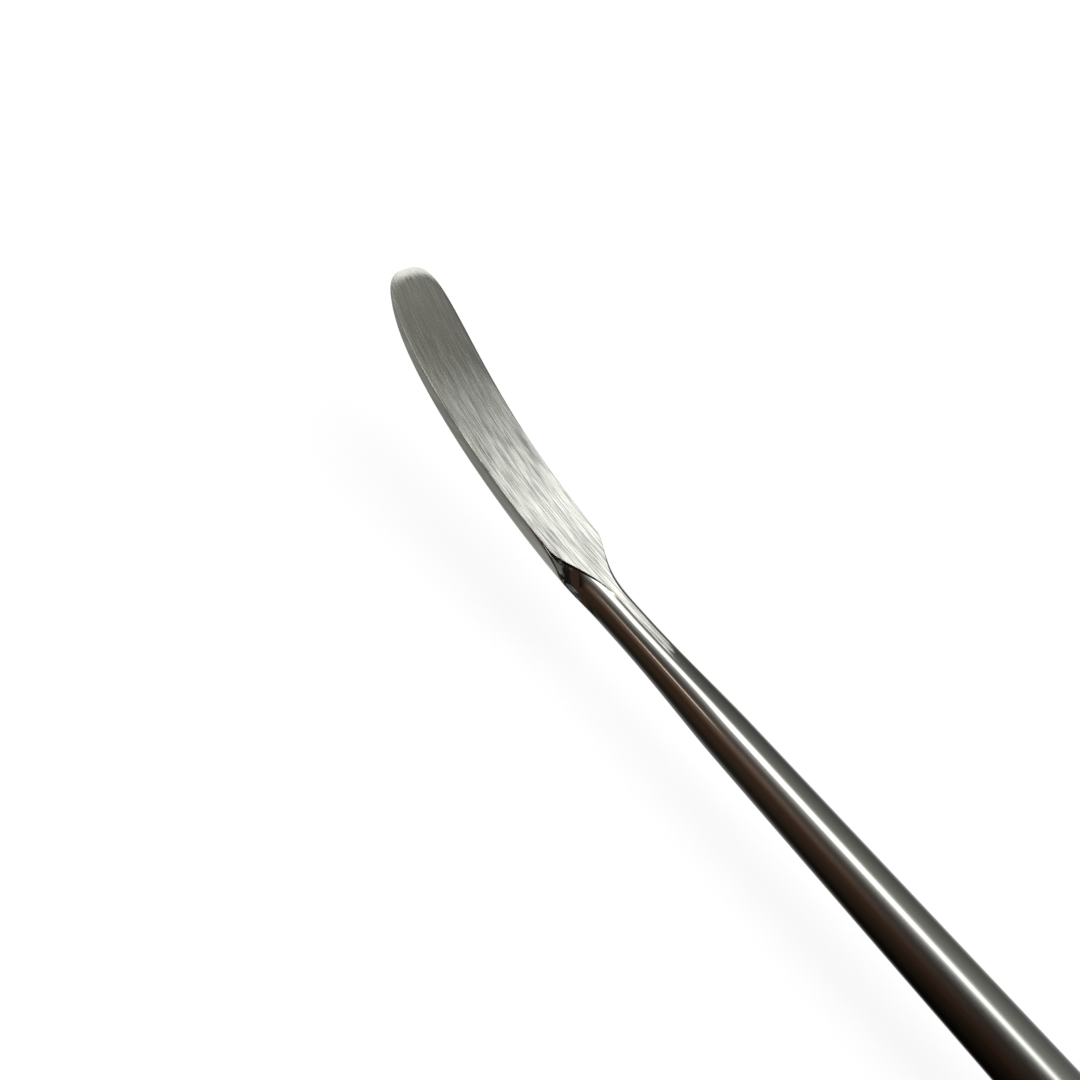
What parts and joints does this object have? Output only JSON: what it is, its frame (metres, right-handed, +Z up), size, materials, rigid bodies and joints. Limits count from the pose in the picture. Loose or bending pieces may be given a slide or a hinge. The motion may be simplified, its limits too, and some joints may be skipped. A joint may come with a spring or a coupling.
{
  "type": "dental elevator",
  "caption": "Hand elevator with a narrow upturned spatula blade, long conical polished shank and hollow octagonal handle with soft grip rings.",
  "frame": {"origin": "on the resting plane, under the middle of the instrument's length and width", "axes": "+X along the instrument towards the tip of the blade, +Z up on the side of the blade's flat face, Y across"},
  "size_m": [0.175, 0.012, 0.0138],
  "materials": {
    "blade_steel": "flat face brushed along its length, neck and shank mirror polished",
    "polished_steel": "polished, finely turned",
    "handle_steel": "satin, brushed along the handle",
    "fastener_steel": "plain machined",
    "seal_rubber": "matt",
    "grip_silicone": "matt silicone",
    "marking_silicone": "matt silicone"
  },
  "bodies": {
    "root": {"working_end": "blade_steel", "nose_ferrule": "polished_steel", "nose_seal": "seal_rubber", "lock_pin": "fastener_steel", "lock_washer": "fastener_steel", "tang_nut": "fastener_steel", "ferrule_seal": "seal_rubber", "handle_tube": "handle_steel", "id_ring": "marking_silicone", "end_cap": "polished_steel", "end_seal": "seal_rubber", "grip_ring_1": "grip_silicone", "grip_ring_2": "grip_silicone", "grip_ring_3": "grip_silicone", "grip_ring_4": "grip_silicone", "grip_ring_5": "grip_silicone"}
  },
  "joints": []
}
